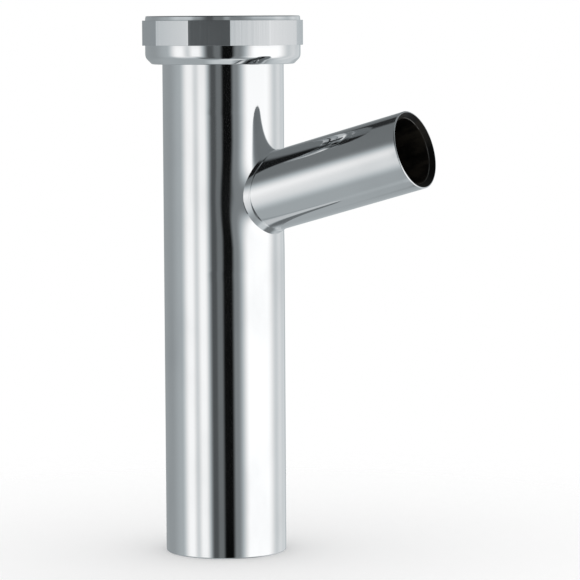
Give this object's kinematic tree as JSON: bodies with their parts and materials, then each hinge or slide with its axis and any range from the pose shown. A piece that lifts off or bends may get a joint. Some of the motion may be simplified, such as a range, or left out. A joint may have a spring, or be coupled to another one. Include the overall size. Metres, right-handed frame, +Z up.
{
  "type": "basin waste tail pipe",
  "caption": "Chromed waste tail pipe: a straight flanged tube with a rising side branch for a hose and a captive union nut with wrench flats over a rubber flange seal.",
  "frame": {"origin": "centre of the tube's lower end, on the tube's axis", "axes": "+Z up along the tube to the union nut, +X the way the branch leans out; the XZ plane is the plane of both axes"},
  "size_m": [0.1016, 0.053, 0.1775],
  "materials": {
    "chrome_tube": "polished",
    "chrome_branch": "polished",
    "chrome_nut": "polished",
    "seal_rubber": "matte"
  },
  "bodies": {
    "pipe": {"main_tube": "chrome_tube", "branch_tube": "chrome_branch", "flange_washer": "seal_rubber"},
    "nut": {"union_nut": "chrome_nut"}
  },
  "joints": [
    {"name": "nut_turn", "type": "hinge", "parent": "pipe", "child": "nut", "pos_m": [0, 0, 0.165], "axis": [0, 0, 1], "continuous": true}
  ]
}
